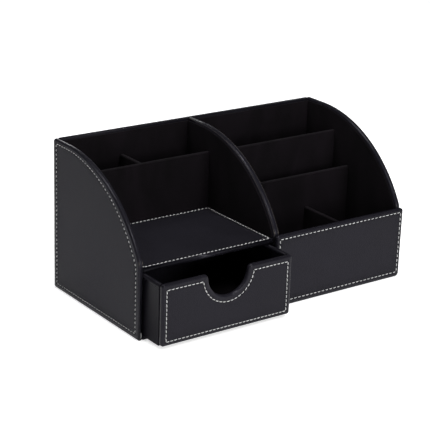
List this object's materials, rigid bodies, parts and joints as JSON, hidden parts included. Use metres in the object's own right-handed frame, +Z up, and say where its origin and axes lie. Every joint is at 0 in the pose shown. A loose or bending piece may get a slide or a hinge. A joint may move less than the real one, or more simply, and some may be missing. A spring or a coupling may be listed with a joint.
{
  "type": "desk organizer with drawer",
  "caption": "Desk organizer of leather-wrapped boards: a drawer under a shelf, pen slots behind them, and velvet-lined compartments stepping up behind a low front panel.",
  "frame": {"origin": "centre of the case's underside, on the surface that it stands on", "axes": "+X to the right seen from the front, +Y to the back, +Z up"},
  "size_m": [0.29, 0.1685, 0.141],
  "materials": {
    "leather": "black imitation leather, fine grain, low sheen",
    "velvet": "black short-pile velvet",
    "cloth": "black felt",
    "fibreboard": "bare fibreboard"
  },
  "bodies": {
    "case": {"base_cover": "leather", "base_board": "fibreboard", "underside_cloth": "cloth", "back_cover": "leather", "back_board": "fibreboard", "left_side_cover": "leather", "left_side_board": "fibreboard", "right_side_cover": "leather", "right_side_board": "fibreboard", "middle_divider_cover": "leather", "middle_divider_board": "fibreboard", "shelf_cover": "leather", "shelf_board": "fibreboard", "front_panel_cover": "leather", "front_panel_board": "fibreboard", "pen_divider_cover": "velvet", "pen_divider_board": "fibreboard", "pen_split_cover": "velvet", "pen_split_board": "fibreboard", "rear_divider_cover": "velvet", "rear_divider_board": "fibreboard", "mid_divider_cover": "velvet", "mid_divider_board": "fibreboard", "front_split_cover": "velvet", "front_split_board": "fibreboard", "left_side_lining": "velvet", "divider_left_lining": "velvet", "divider_right_lining": "velvet", "right_side_lining": "velvet", "back_left_lining": "velvet", "back_right_lining": "velvet", "pen_floor_lining": "velvet", "right_floor_lining": "velvet", "front_panel_lining": "velvet"},
    "drawer": {"drawer_front_cover": "leather", "drawer_front_board": "fibreboard", "drawer_left_cover": "leather", "drawer_left_board": "fibreboard", "drawer_right_cover": "leather", "drawer_right_board": "fibreboard", "drawer_back_cover": "leather", "drawer_back_board": "fibreboard", "drawer_bottom": "fibreboard", "drawer_floor_lining": "velvet"}
  },
  "joints": [
    {"name": "drawer_slide", "type": "slide", "parent": "case", "child": "drawer", "axis": [0, -1, 0], "range_m": [-0.0275, 0.0425]}
  ]
}
